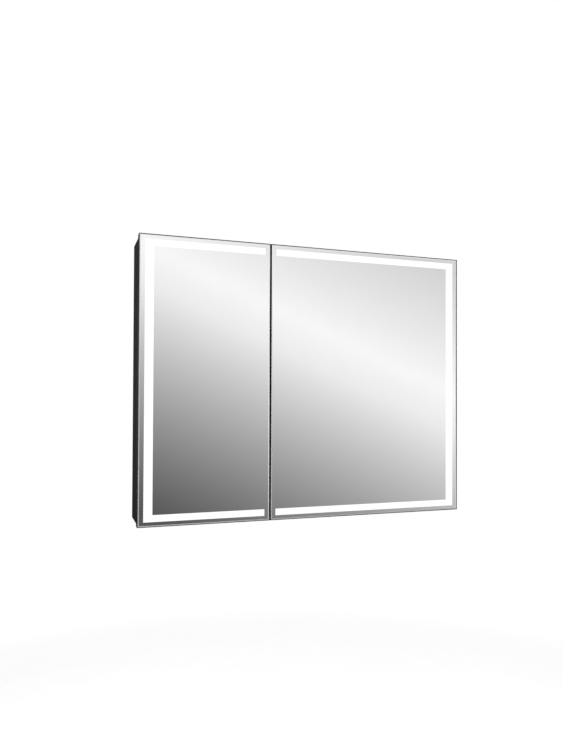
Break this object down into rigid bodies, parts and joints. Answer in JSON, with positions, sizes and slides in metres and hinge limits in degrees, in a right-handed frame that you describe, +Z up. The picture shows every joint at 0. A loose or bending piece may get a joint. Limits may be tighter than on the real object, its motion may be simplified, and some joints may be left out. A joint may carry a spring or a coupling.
{
  "type": "medicine cabinet",
  "caption": "Wall-hung medicine cabinet with two hinged mirror doors, frosted light bands on the doors, glass shelves and a concealed light switch.",
  "frame": {"origin": "centre of the wall face, the rear face of the back panel", "axes": "+X to the right as seen from the room, +Y into the wall, +Z up; the doors face -Y"},
  "size_m": [0.762, 0.127, 0.61],
  "materials": {
    "black_body": "aluminium with a fine satin black coat",
    "black_frame": "black anodised aluminium, brushed along its length",
    "satin_aluminium": "satin anodised",
    "sheet_metal": "mill-finish aluminium sheet",
    "front_mirror": "silvered float glass, polished",
    "interior_mirror": "silvered float glass, polished",
    "light_band": "frosted white diffuser, lit from behind",
    "shelf_glass": "clear toughened glass with polished edges",
    "dark_fasteners": "black oxide",
    "bright_fasteners": "zinc plated",
    "chrome_pins": "polished",
    "white_cover": "fine white powder coat",
    "dark_plastic": "fine spark texture",
    "rubber": "matt moulded rubber",
    "switch_cap": "spun satin face",
    "black_bracket": "black electrophoretic coat",
    "magnet": "nickel plated",
    "led_board": "white solder mask with pale yellow chips",
    "zinc_insert": "die-cast zinc",
    "strike_steel": "nickel plated"
  },
  "bodies": {
    "cabinet": {"side_panel_left": "black_body", "side_panel_right": "black_body", "top_panel": "black_body", "bottom_panel": "black_body", "centre_divider": "satin_aluminium", "back_panel": "sheet_metal", "back_mirror_left": "interior_mirror", "back_mirror_right": "interior_mirror", "body_corner_keys": "satin_aluminium", "divider_screws": "dark_fasteners", "back_panel_screws": "bright_fasteners", "shelf_left_lower": "shelf_glass", "shelf_left_middle": "shelf_glass", "shelf_left_upper": "shelf_glass", "shelf_right_lower": "shelf_glass", "shelf_right_middle": "shelf_glass", "shelf_right_upper": "shelf_glass", "shelf_pins_left": "chrome_pins", "shelf_pins_right": "chrome_pins", "electrics_cover": "white_cover", "cover_screws": "bright_fasteners", "led_driver": "white_cover", "terminal_block": "dark_plastic", "cable_grommet": "rubber", "switch_housing": "dark_plastic", "hinge_brackets_left": "black_bracket", "hinge_brackets_right": "black_bracket", "hinge_screws": "bright_fasteners", "door_magnets": "magnet", "door_bumpers": "rubber", "body_lead_glands": "rubber"},
    "left_door": {"left_hinge_stile": "black_frame", "left_free_stile": "black_frame", "left_top_rail": "black_frame", "left_bottom_rail": "black_frame", "left_corner_keys": "satin_aluminium", "left_mirror": "front_mirror", "left_light_band": "light_band", "left_led_strip": "led_board", "left_back_plate": "sheet_metal", "left_rear_mirror": "interior_mirror", "left_hinge_inserts": "zinc_insert", "left_hinge_pins": "chrome_pins", "left_strike_plates": "strike_steel", "left_lead_gland": "rubber"},
    "right_door": {"right_hinge_stile": "black_frame", "right_free_stile": "black_frame", "right_top_rail": "black_frame", "right_bottom_rail": "black_frame", "right_corner_keys": "satin_aluminium", "right_mirror": "front_mirror", "right_light_band": "light_band", "right_led_strip": "led_board", "right_back_plate": "sheet_metal", "right_rear_mirror": "interior_mirror", "right_hinge_inserts": "zinc_insert", "right_hinge_pins": "chrome_pins", "right_strike_plates": "strike_steel", "right_lead_gland": "rubber"},
    "light_button": {"switch_button": "switch_cap"}
  },
  "joints": [
    {"name": "left_door_hinge", "type": "hinge", "parent": "cabinet", "child": "left_door", "pos_m": [-0.3765, -0.1095, 0], "axis": [0, 0, -1], "range_deg": [0, 105]},
    {"name": "right_door_hinge", "type": "hinge", "parent": "cabinet", "child": "right_door", "pos_m": [0.3765, -0.1095, 0], "axis": [0, 0, 1], "range_deg": [0, 105]},
    {"name": "light_button_press", "type": "slide", "parent": "cabinet", "child": "light_button", "axis": [0, 1, 0], "range_m": [0, 0.002], "stiffness_N_per_m": 400}
  ]
}
